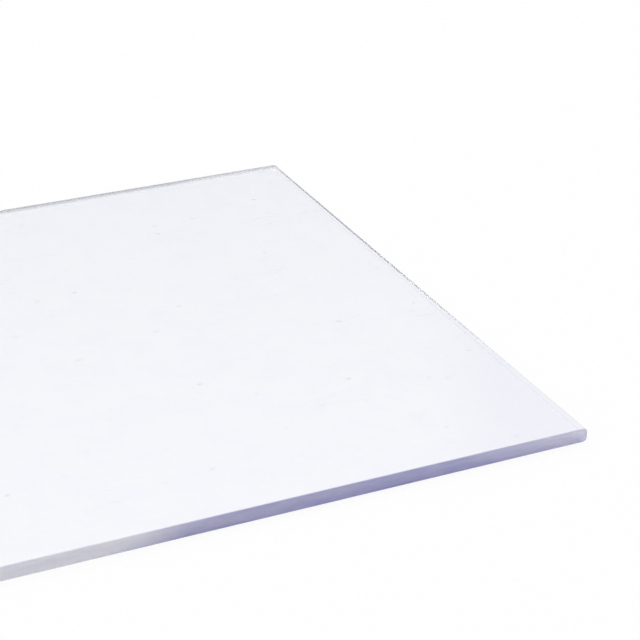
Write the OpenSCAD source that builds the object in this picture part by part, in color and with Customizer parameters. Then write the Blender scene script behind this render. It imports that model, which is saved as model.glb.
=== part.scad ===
// A clear flat sheet of polycarbonate, cut to size, lying flat.
// The origin is the middle of the underside, at the level of the surface that it lies on.
// +X runs along the sheet, +Y across it and +Z up through its thickness.

/* [Sheet] */
// Length, along X
sheet_length = 297; // [100:1:2050]
// Width, along Y
sheet_width = 210; // [60:1:1250]
// Thickness, along Z
sheet_thickness = 4; // [3:0.5:12]

/* [Edges] */
// Radius eased along the upper and lower edges
edge_radius = 1.2; // [0.1:0.1:1.4]
// Corner radius of the flat faces, seen from above
corner_radius = 0.3; // [0.1:0.1:5]

/* [Hidden] */
$fn = 64;
// Radius of the whole corner, seen from above: the flat face's own, and the eased edge round it
turn_radius = corner_radius + edge_radius;
// Where the straight runs end and the corners turn, from the middle of the sheet
turn_x = sheet_length / 2 - turn_radius;
turn_y = sheet_width / 2 - turn_radius;
clear_polycarbonate = [0.9, 0.91, 0.97, 0.5];

// Section through the sheet, from one edge to the other: flat faces, with all four edges rounded
module section(span) {
    flat = span - 2 * edge_radius;
    wall = sheet_thickness - 2 * edge_radius;
    translate([-flat / 2, 0]) square([flat, sheet_thickness]);
    translate([-span / 2, edge_radius]) square([span, wall]);
    for (side = [-1, 1], level = [edge_radius, sheet_thickness - edge_radius])
        translate([side * flat / 2, level]) circle(edge_radius);
}

// The section turned through a quarter circle, for the corner between two runs
module corner() {
    rotate_extrude(angle = 90)
        intersection() {
            section(2 * turn_radius);
            square([turn_radius, sheet_thickness]);
        }
}

module sheet() {
    color(clear_polycarbonate) {
        rotate([90, 0, 90]) linear_extrude(2 * turn_x, center = true) section(sheet_width);
        rotate([90, 0, 0]) linear_extrude(2 * turn_y, center = true) section(sheet_length);
        translate([turn_x, turn_y]) corner();
        translate([-turn_x, turn_y]) rotate([0, 0, 90]) corner();
        translate([-turn_x, -turn_y]) rotate([0, 0, 180]) corner();
        translate([turn_x, -turn_y]) rotate([0, 0, 270]) corner();
    }
}

sheet();
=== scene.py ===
# %% [markdown]
# A clear polycarbonate sheet
# This script dresses one flat sheet of clear plastic that lies on a pale floor. Everything is in metres,
# in the same frame as the solid model: the sheet's underside is at z = 0, its length runs along X and its
# width along Y. The solid's own mesh is already the right shape, so what is made here is its finish, the
# light and the camera. Nothing on a plain sheet repeats as a part of its own, so there is no node tree for
# geometry. What does follow a rule, the cutter's marks and the dust, is finer than the shape and is drawn
# by the material.

import math

import bpy
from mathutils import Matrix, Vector


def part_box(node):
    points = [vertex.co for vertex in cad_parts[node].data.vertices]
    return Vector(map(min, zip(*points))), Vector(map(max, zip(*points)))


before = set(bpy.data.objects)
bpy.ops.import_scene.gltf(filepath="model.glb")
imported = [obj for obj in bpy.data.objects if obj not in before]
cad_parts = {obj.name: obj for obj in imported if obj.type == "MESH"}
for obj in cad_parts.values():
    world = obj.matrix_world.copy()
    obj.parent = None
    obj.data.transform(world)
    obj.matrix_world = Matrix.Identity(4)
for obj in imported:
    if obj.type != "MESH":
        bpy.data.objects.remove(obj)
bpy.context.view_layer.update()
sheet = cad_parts["sheet"]
low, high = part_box("sheet")
print("sheet spans", [round(1000 * (b - a), 2) for a, b in zip(low, high)], "mm")

# %% [markdown]
# Sizes
# The script needs only a few sizes of the sheet. The overall ones are read from the solid. The radius of
# the eased edges is repeated here, because the finish changes from glossy to milled across it.

# %% Sizes of the sheet
LENGTH, WIDTH, THICKNESS = high - low
EDGE_RADIUS = 0.0012
print(f"{len(sheet.data.polygons)} faces, edges eased by {1000 * EDGE_RADIUS} mm")

# %% [markdown]
# The camera
# The view is fixed by the photograph's perspective: the camera looks 26.2 degrees down and is turned 24.5
# degrees towards the sheet's right end. It stands at a distance from the sheet's front right corner that
# is given in widths of the sheet, so it would follow a sheet of another size. A long lens keeps the
# perspective gentle.

# %% Place the camera
CAMERA_DOWN = math.radians(26.156)
CAMERA_TURN = math.radians(24.511)
CAMERA_LENS = 109.4
CAMERA_SENSOR = 36
CAMERA_OFFSET = Vector((-1.20739, -1.83652, 1.22056))

corner = Vector((high.x - EDGE_RADIUS, low.y + EDGE_RADIUS, high.z))
camera_data = bpy.data.cameras.new("camera")
camera_data.lens = CAMERA_LENS
camera_data.sensor_width = CAMERA_SENSOR
camera = bpy.data.objects.new("camera", camera_data)
camera.location = corner + CAMERA_OFFSET * (WIDTH - 2 * EDGE_RADIUS)
camera.rotation_euler = (math.pi / 2 - CAMERA_DOWN, 0, -CAMERA_TURN)
bpy.context.scene.collection.objects.link(camera)
bpy.context.scene.camera = camera
print("camera at", [round(v, 3) for v in camera.location])

# %% [markdown]
# Writing shader maths as expressions
# A material's pattern is arithmetic on positions. Placing and wiring a node for each plus and times is
# slow to write and hard to read. The small class below wraps a socket, so that an expression such as
# 1 - mask * 0.5 adds the Math nodes by itself. Every other kind of node comes from its one method node().


# %% A wire that understands arithmetic
class Wire:
    """A node's output that Python's operators work on."""

    def __init__(self, socket):
        self.socket = socket

    @classmethod
    def node(cls, tree, kind, settings=None, sockets=None):
        """Any shader node: its settings first, then the values or links of its sockets."""
        made = tree.nodes.new("ShaderNode" + kind)
        for name, value in (settings or {}).items():
            setattr(made, name, value)
        for key, value in (sockets or {}).items():
            if isinstance(value, cls):
                tree.links.new(value.socket, made.inputs[key])
            else:
                made.inputs[key].default_value = value
        return cls(made.outputs[0]) if made.outputs else None

    def beside(self, key):
        """Another output of the same node."""
        return Wire(self.socket.node.outputs[key])

    def maths(self, operation, *values):
        """A Math node on these values, in their order."""
        return self.node(self.socket.id_data, "Math", {"operation": operation}, dict(enumerate(values)))

    def __add__(self, other):
        return self.maths("ADD", self, other)

    def __radd__(self, other):
        return self.maths("ADD", other, self)

    def __sub__(self, other):
        return self.maths("SUBTRACT", self, other)

    def __rsub__(self, other):
        return self.maths("SUBTRACT", other, self)

    def __mul__(self, other):
        return self.maths("MULTIPLY", self, other)

    def __rmul__(self, other):
        return self.maths("MULTIPLY", other, self)

    def __truediv__(self, other):
        return self.maths("DIVIDE", self, other)

    def __rtruediv__(self, other):
        return self.maths("DIVIDE", other, self)

    def __abs__(self):
        return self.maths("ABSOLUTE", self)

    def sine(self):
        return self.maths("SINE", self)

    def least(self, other):
        return self.maths("MINIMUM", self, other)

    def most(self, other):
        return self.maths("MAXIMUM", self, other)

    def rise(self, start, end):
        """0 up to start, 1 from end on, with a soft S between them."""
        return self.node(self.socket.id_data, "MapRange", {"interpolation_type": "SMOOTHSTEP"},
                         {"Value": self, "From Min": start, "From Max": end})

    def blend(self, first, second):
        """The first colour where this is 0, the second where it is 1."""
        return self.node(self.socket.id_data, "Mix", {"data_type": "RGBA"},
                         {0: self, 6: first, 7: second}).beside(2)


print("besides + - * / and abs():", *[name for name in vars(Wire) if not name.startswith("_")])

# %% [markdown]
# An empty material
# Blender fills a new material with a ready-made shader. Here each material starts as an empty tree, so that
# nothing is in it but what the lesson adds.


# %% Start the sheet's material
def new_material(name):
    """A material and its empty node tree."""
    material = bpy.data.materials.new(name)
    material.use_nodes = True
    material.node_tree.nodes.clear()
    return material, material.node_tree


polycarbonate, tree = new_material("clear_polycarbonate")
print(polycarbonate.name, "starts with", len(tree.nodes), "nodes")

# %% [markdown]
# The finish of the sheet
# Polycarbonate leaves the extruder between polished rolls, with two glossy, clear faces. The cutter leaves
# the two long edges, and the round between edge and face, finely scored and matt; the two ends are trimmed
# smoother. Its faint violet-grey tint can't be seen through 4 mm. It shows in the edges, where light
# arrives after it has crossed the sheet many times; that light, and the shade on the edges, is painted into
# their colour here. One material does all of this on the one solid: clear plastic, smooth on the faces and
# rough where it is milled. The first step is to know, at any point, how milled or trimmed it is.

# %% Where on the sheet a point is
CUT_START, CUT_END = 0.6 * EDGE_RADIUS, 1.0 * EDGE_RADIUS
UPPER_FACE = 0.7, 0.9

place = Wire.node(tree, "TexCoord").beside("Object")
x = Wire.node(tree, "SeparateXYZ", None, {0: place})
y, z = x.beside(1), x.beside(2)
milled = 1 - (WIDTH / 2 - abs(y)).rise(CUT_START, CUT_END)
trimmed = (1 - (LENGTH / 2 - abs(x)).rise(CUT_START, CUT_END)) * (1 - milled)
level = z / THICKNESS
upper_face = level.rise(*UPPER_FACE) * (1 - milled - trimmed)
print("edge finish within", 1000 * CUT_END, "mm of the outline")

# %% [markdown]
# The cutter's chatter
# Chatter and swarf leave the milled finish a little uneven along the edge. A noise over a flat place draws
# it, and most of the sheet's other marks too: clouds where both coordinates are alike, and streaks where
# one of them is squeezed. The distance along an edge is x + y on every side, because one of the two doesn't
# change there.


# %% Unevenness along the edges
def flat(first, second):
    """A place in the plane from two coordinates."""
    return Wire.node(first.socket.id_data, "CombineXYZ", None, {0: first, 1: second})


def noise(place, scale, detail, roughness):
    """Cloudy values between 0 and 1, about half on average, over a flat place."""
    return Wire.node(place.socket.id_data, "TexNoise", {"noise_dimensions": "2D"}, {
        "Vector": place, "Scale": scale, "Detail": detail, "Roughness": roughness})


CHATTER_SCALE, CHATTER_DETAIL, CHATTER_ROUGHNESS = 60.0, 4.0, 0.6
CHATTER_HEIGHT = 6

along = x + y
uneven = noise(flat(along, z * CHATTER_HEIGHT), CHATTER_SCALE, CHATTER_DETAIL, CHATTER_ROUGHNESS)
print("chatter about every", round(1000 / CHATTER_SCALE), "mm")

# %% [markdown]
# The tone of the milled edges
# The violet-grey of a milled edge is painted light: it stands for light that has crossed the sheet and
# taken on the plastic's faint violet on the way. Its lower half is darker and more violet than the upper
# one, as painted shade, since it lies away from the light.

# %% Painted light and shade of the milled edges
EDGE_UPPER_PAINTED_LIGHT = (0.26, 0.26, 0.575, 1)
EDGE_LOWER_PAINTED_SHADE = (0.145, 0.14, 0.46, 1)
LOWER_TO_UPPER = 0.15, 0.85

edge_tint_and_painted_light = level.rise(*LOWER_TO_UPPER).blend(EDGE_LOWER_PAINTED_SHADE, EDGE_UPPER_PAINTED_LIGHT)
print("tone changes over", round(1000 * THICKNESS * (LOWER_TO_UPPER[1] - LOWER_TO_UPPER[0]), 1), "mm")

# %% [markdown]
# Painted light on stretches of the front edge
# Light inside the sheet makes the front edge look paler in places, and that is painted into its colour as
# painted light: strongly on a stretch that ends near the middle, a little from the left end to well past
# the middle, and more and more towards the right end. The end of the first stretch and the start of the
# last one lean, because the painted paleness reaches further along the upper half of the edge than along
# the lower one.

# %% Where painted light makes the front edge paler
EDGE_PAINTED_LIGHT_TINT = (0.90, 0.885, 1, 1)
PAINTED_LIGHT_START, PAINTED_LIGHT_END = (-0.080, -0.050), (0.001, 0.033)
PAINTED_LIGHT_SLANT = 0.012
MIDDLE_PALE, MIDDLE_SHARE = (0.060, 0.090), 0.1
RIGHT_PALE, RIGHT_SHARE = (0.105, 0.185), 0.5
RIGHT_SLANT = 0.020
UNEVEN_SHARE = 0.4

# Painted light: the front edge is made paler on these stretches.
painted_light_stretch = x.rise(*PAINTED_LIGHT_START) - (x - level * PAINTED_LIGHT_SLANT).rise(*PAINTED_LIGHT_END)
painted_light_right = (x + level * RIGHT_SLANT).rise(*RIGHT_PALE) * RIGHT_SHARE
painted_paleness = painted_light_stretch + (1 - x.rise(*MIDDLE_PALE)) * MIDDLE_SHARE + painted_light_right
edge_tint_and_painted_light = (painted_paleness + (uneven - 0.5) * UNEVEN_SHARE).blend(edge_tint_and_painted_light, EDGE_PAINTED_LIGHT_TINT)
print("palest for", round(1000 * (PAINTED_LIGHT_END[0] - PAINTED_LIGHT_START[1])), "mm")

# %% [markdown]
# The back edge and the ends
# These edges are seen through the sheet, as thin grey strips. The back edge is painted paler than the front
# one, and more so near its right corner: painted light, for light from behind that shines through it. The
# ends are trimmed smooth and stay nearly clear.

# %% Painted light on the back edge, and the tint of the ends
BACK_PAINTED_LIGHT = (0.70, 0.70, 0.72, 1)
BACK_BRIGHTER_PAINTED_LIGHT = (0.82, 0.82, 0.84, 1)
BACK_PALE = 0.108, 0.126
FRONT_TO_BACK = -0.45 * WIDTH, 0.45 * WIDTH
END_TINT = (0.96, 0.96, 0.98, 1)

# Painted light: the back edge is paler, and paler still near its right corner.
back_painted_light = x.rise(*BACK_PALE).blend(BACK_PAINTED_LIGHT, BACK_BRIGHTER_PAINTED_LIGHT)
edge_tint_and_painted_light = y.rise(*FRONT_TO_BACK).blend(edge_tint_and_painted_light, back_painted_light)
edge_tint_and_painted_light = trimmed.blend(edge_tint_and_painted_light, END_TINT)
print("back edge paler from", round(1000 * BACK_PALE[0]), "mm right of the middle")

# %% [markdown]
# Smears and hairlines
# A sheet that has lain about isn't quite clean. Wiping has left faint cloudy smears on its upper face, and
# sliding other sheets across it has left hairlines. A hairline is where a long drawn-out noise passes
# through its middle value. The marks lie on the upper face only, so that each is seen once, and not a
# second time through the underside.

# %% Smears and hairlines on the upper face
CLOUD_SCALE, CLOUD_DETAIL, CLOUD_ROUGHNESS = 75.0, 5.0, 0.62
SMEARED = 0.48, 0.58
STRAND_SCALE, STRAND_DETAIL, STRAND_ROUGHNESS = 90.0, 2.0, 0.5
STRAND_STRETCH, STRAND_LEAN = 0.25, 0.05
HAIRLINE_WIDTH = 0.0005, 0.003
SCRATCHED = 0.5, 0.6

cloud = noise(flat(x, y), CLOUD_SCALE, CLOUD_DETAIL, CLOUD_ROUGHNESS)
smear = cloud.rise(*SMEARED) * upper_face
strand_place = flat(x * STRAND_STRETCH + y * STRAND_LEAN, y)
strands = noise(strand_place, STRAND_SCALE, STRAND_DETAIL, STRAND_ROUGHNESS)
hairline = (1 - abs(strands - 0.5).rise(*HAIRLINE_WIDTH)) * cloud.rise(*SCRATCHED)
print("smears about every", round(1000 / CLOUD_SCALE), "mm")

# %% [markdown]
# Dust
# A few specks of dust dim the white floor behind them. They are the few cells of a Voronoi pattern whose
# random value is high, and a fine noise makes them ragged.

# %% Dust on the upper face
DUST_CELL = 0.013
DUST_SHARE = 0.25
SPECK_CORE, SPECK_RIM = 0.0001, 0.0011
RAGGED_SCALE, RAGGED_DETAIL, RAGGED_ROUGHNESS = 900.0, 2.0, 0.5
RAGGED_SIZE = 0.001

ragged = noise(flat(x, y), RAGGED_SCALE, RAGGED_DETAIL, RAGGED_ROUGHNESS) * RAGGED_SIZE
cells = Wire.node(tree, "TexVoronoi", {"voronoi_dimensions": "2D"}, {
    "Vector": flat(x + ragged, y - ragged), "Scale": 1 / DUST_CELL})
chance = Wire.node(tree, "SeparateColor", None, {0: cells.beside("Color")})
from_middle = cells.beside("Distance") * DUST_CELL
speck = (1 - from_middle.rise(SPECK_CORE, SPECK_RIM)) * chance.rise(1 - DUST_SHARE, 1)
print("about", round(LENGTH * WIDTH / DUST_CELL ** 2 * DUST_SHARE), "specks, most of them faint")

# %% [markdown]
# The colour of the face
# The clear plastic takes a trace of red and green out of what is seen through it. A smear takes a little
# more, and a speck of dust more still.

# %% Tint of the upper face
FACE_TINT = (0.984, 0.990, 1, 1)
SMEAR_TINT = (0.977, 0.973, 1, 1)
DUST_TINT = (0.84, 0.84, 0.88, 1)

face_tint = smear.blend(FACE_TINT, SMEAR_TINT)
face_tint = (speck * upper_face).blend(face_tint, DUST_TINT)
# On the edges this colour is painted light and shade; on the face it is the plastic's tint, smears and
# dust.
tint = (milled + trimmed).blend(face_tint, edge_tint_and_painted_light)
print(len(tree.nodes), "nodes so far")

# %% [markdown]
# Relief
# The rolls leave the faces not quite flat: long, very shallow waves along the sheet, which only show in
# what it mirrors. The cutter's teeth leave upright marks along the edges at an even pitch, the feed per
# tooth, and they are shallower than the chatter. All of it is far finer than the shape, so it is bump.

# %% Relief of the faces and of the edges
TOOTH_PITCH = 0.0006
TOOTH_DEPTH = 0.35
TOOTH_WANDER = 6
FACE_RELIEF = 0.000004
EDGE_RELIEF = 0.00003
WAVE_SCALE, WAVE_DETAIL, WAVE_ROUGHNESS = 40.0, 2.0, 0.5
WAVE_STRETCH = 0.2

teeth = (along * (2 * math.pi / TOOTH_PITCH) + uneven * TOOTH_WANDER).sine() * 0.5 + 0.5
waves = noise(flat(x * WAVE_STRETCH, y), WAVE_SCALE, WAVE_DETAIL, WAVE_ROUGHNESS)
relief = waves * (1 - milled) * FACE_RELIEF + (teeth * TOOTH_DEPTH + uneven) * milled * EDGE_RELIEF
bump = Wire.node(tree, "Bump", None, {"Strength": 1.0, "Distance": 1.0, "Height": relief})
print("a tooth mark every", 1000 * TOOTH_PITCH, "mm")

# %% [markdown]
# Roughness
# The faces are nearly as smooth as glass; smears, hairlines and dust roughen them a little. The milled
# band is rough enough to hide the dark and bright lines that a polished edge would show, and the trimmed
# ends are only a little duller than the faces.

# %% Roughness of the faces and of the edges
FACE_ROUGHNESS = 0.02
SMEAR_ROUGHNESS = 0.03
HAIRLINE_ROUGHNESS = 0.2
DUST_ROUGHNESS = 0.3
MILLED_ROUGHNESS = 0.8
MILLED_SPREAD = 0.3
TRIMMED_ROUGHNESS = 0.03

marks = hairline * HAIRLINE_ROUGHNESS + speck * DUST_ROUGHNESS
face_roughness = smear * SMEAR_ROUGHNESS + marks * upper_face + FACE_ROUGHNESS
milled_roughness = MILLED_ROUGHNESS + (uneven - 0.5) * MILLED_SPREAD - FACE_ROUGHNESS
roughness = face_roughness + milled * milled_roughness + trimmed * TRIMMED_ROUGHNESS
print("roughness", FACE_ROUGHNESS, "on the faces,", MILLED_ROUGHNESS, "on the milled edges")

# %% [markdown]
# Clear plastic
# One Principled shader with full transmission makes the surface. Polycarbonate bends light more than most
# clear plastics, with an index of 1.585. The plastic itself takes up a little light on the way, less of the
# blue, which tells only over the long paths inside the sheet.

# %% One clear plastic
CLEAR_INDEX = 1.585
ABSORPTION_COLOUR = (0.45, 0.45, 0.67, 1)
ABSORPTION_DENSITY = 0.5

plastic = Wire.node(tree, "BsdfPrincipled", None, {
    "Base Color": tint, "Roughness": roughness, "IOR": CLEAR_INDEX, "Transmission Weight": 1.0,
    "Normal": bump})
inside = Wire.node(tree, "VolumeAbsorption", None, {
    "Color": ABSORPTION_COLOUR, "Density": ABSORPTION_DENSITY})
print("index", CLEAR_INDEX)

# %% [markdown]
# The pale ends
# Seen through the upper face, the lower round of an end mirrors light that is trapped in the sheet, and
# shows as a thin grey line. In the photograph that line fades out towards the front. A real sheet has no
# such switch, but here, and only for light that meets the round from inside, the plastic gives way to a
# plain clear surface, more and more towards the front.

# %% Let the lower round of the ends fade out
CLEAR_END = -0.070, 0.060
LOWER_ROUND = 0.25, 0.40

from_inside = Wire.node(tree, "NewGeometry").beside("Backfacing")
fade = from_inside * trimmed * (1 - level.rise(*LOWER_ROUND)) * (1 - y.rise(*CLEAR_END))
clear = Wire.node(tree, "BsdfTransparent")
surface = Wire.node(tree, "MixShader", None, {0: fade, 1: plastic, 2: clear})
Wire.node(tree, "OutputMaterial", None, {"Surface": surface, "Volume": inside})
sheet.material_slots[0].material = polycarbonate
print(len(tree.nodes), "nodes in", polycarbonate.name)

# %% [markdown]
# The floor
# The floor is a white paper backdrop. A hair's breadth of air is left between it and the sheet, because the
# sheet only lies on it and isn't wet against it.

# %% Floor
FLOOR_SIZE = 8
AIR_GAP = 0.0001

floor_data = bpy.data.meshes.new("floor")
half = FLOOR_SIZE / 2
floor_data.from_pydata([(-half, -half, 0), (half, -half, 0), (half, half, 0), (-half, half, 0)], [],
                       [(0, 1, 2, 3)])
floor = bpy.data.objects.new("floor", floor_data)
floor.location.z = low.z - AIR_GAP
bpy.context.scene.collection.objects.link(floor)
print("floor", FLOOR_SIZE, "m square,", 1000 * AIR_GAP, "mm below the sheet")

# %% [markdown]
# The floor's paper
# To the camera, and in what the sheet mirrors and lets through, the floor is mostly a plain white light, so
# the background stays clean. The rest of it is a lit matt surface, which keeps the sheet's shadow. Cycles
# would also aim light rays at a glowing floor, and lose the ones that this mix hides from it, so that is
# turned off.

# %% Paper that is white to the camera
PAPER = (0.9, 0.9, 0.9, 1)
WHITE = (1, 1, 1, 1)
FLOOR_GLOW = 0.92


def rays(tree):
    """Whether a ray comes from the camera, off a mirror or through something clear."""
    path = Wire.node(tree, "LightPath")
    return [path.beside(name) for name in ("Is Camera Ray", "Is Glossy Ray", "Is Transmission Ray")]


paper, tree = new_material("white_floor")
from_camera, off_mirror, through = rays(tree)
seen = from_camera.most(off_mirror).most(through)
matt = Wire.node(tree, "BsdfDiffuse", None, {"Color": PAPER})
glow = Wire.node(tree, "Emission", None, {"Color": WHITE, "Strength": 1.0})
mixed = Wire.node(tree, "MixShader", None, {0: seen * FLOOR_GLOW, 1: matt, 2: glow})
Wire.node(tree, "OutputMaterial", None, {"Surface": mixed})
floor_data.materials.append(paper)
paper.cycles.emission_sampling = "NONE"
print(len(tree.nodes), "nodes in", paper.name)

# %% [markdown]
# The room that the sheet mirrors
# The sheet mirrors a room that is bright overhead, dimmer lower down and white again at the horizon, where
# the backdrop stands. Its far end, which is seen at a flatter angle, mirrors the dim part. The room's light
# is a little blue, and more so to the right, which shows in the sheet's right front corner.

# %% Room
ROOM_COLOUR = (0.66, 0.70, 1, 1)
RIGHT_COLOUR = (0.28, 0.30, 0.80, 1)
RIGHT_START, RIGHT_END = 0.41, 0.455
ROOM_HORIZON, ROOM_CLIMB = -0.18, 2.25
BACKDROP_HEIGHT = 0.3

world = bpy.data.worlds.new("studio")
bpy.context.scene.world = world
world.use_nodes = True
world.cycles.sampling_method = "NONE"
tree = world.node_tree
tree.nodes.clear()
direction = Wire.node(tree, "TexCoord").beside("Generated")
rightward = Wire.node(tree, "SeparateXYZ", None, {0: direction})
height = rightward.beside(2)
room = rightward.rise(RIGHT_START, RIGHT_END).blend(ROOM_COLOUR, RIGHT_COLOUR)
backdrop = 1 - abs(height).rise(0, BACKDROP_HEIGHT)
brightness = (height * ROOM_CLIMB + ROOM_HORIZON).most(backdrop).least(1)
mirrored = Wire.node(tree, "Background", None, {
    "Color": backdrop.blend(room, WHITE), "Strength": brightness})
print("backdrop up to", round(math.degrees(math.asin(BACKDROP_HEIGHT))), "degrees above the horizon")

# %% [markdown]
# The world around
# The camera, and what it sees through the sheet, gets plain white. Only mirrored rays meet the room. Matt
# surfaces are lit by a plain, soft light from all round, a little weaker than white.

# %% World
ROOM_LIGHT = 0.8

from_camera, off_mirror, through = rays(tree)
white = Wire.node(tree, "Background", None, {"Color": WHITE, "Strength": 1.0})
lighting = Wire.node(tree, "Background", None, {"Color": WHITE, "Strength": ROOM_LIGHT})
around = Wire.node(tree, "MixShader", None, {0: off_mirror, 1: lighting, 2: mirrored})
sky = Wire.node(tree, "MixShader", None, {0: from_camera.most(through), 1: around, 2: white})
Wire.node(tree, "OutputWorld", None, {"Surface": sky})
print(len(tree.nodes), "nodes in", world.name)

# %% [markdown]
# The softbox
# A large lamp above and behind the sheet, on the left, gives the floor a soft shadow along the front edge.
# It is weak, because the world already lights the scene.

# %% Softbox
SOFTBOX_SIZE = 2.5, 1.5
SOFTBOX_POWER = 20
SOFTBOX_PLACE = Vector((-0.6, 0.8, 2.2))

lamp_data = bpy.data.lights.new("softbox", "AREA")
lamp_data.shape = "RECTANGLE"
lamp_data.size, lamp_data.size_y = SOFTBOX_SIZE
lamp_data.energy = SOFTBOX_POWER
lamp = bpy.data.objects.new("softbox", lamp_data)
lamp.location = SOFTBOX_PLACE
lamp.rotation_euler = (-SOFTBOX_PLACE).to_track_quat("-Z", "Y").to_euler()
bpy.context.scene.collection.objects.link(lamp)
print("softbox", round(SOFTBOX_PLACE.length, 2), "m from the sheet")

# %% [markdown]
# Light inside a clear sheet
# Light that enters an edge is thrown from face to face many dozens of times before it comes out. With the
# usual limit of a dozen turns it would be lost, and the edges would turn black.

# %% Render settings that belong to the scene
LIGHT_TURNS = 128

scene = bpy.context.scene
scene.view_settings.view_transform = "Standard"
scene.cycles.max_bounces = LIGHT_TURNS
scene.cycles.transmission_bounces = LIGHT_TURNS
scene.cycles.glossy_bounces = LIGHT_TURNS
print("up to", LIGHT_TURNS, "turns of light")

# %% [markdown]
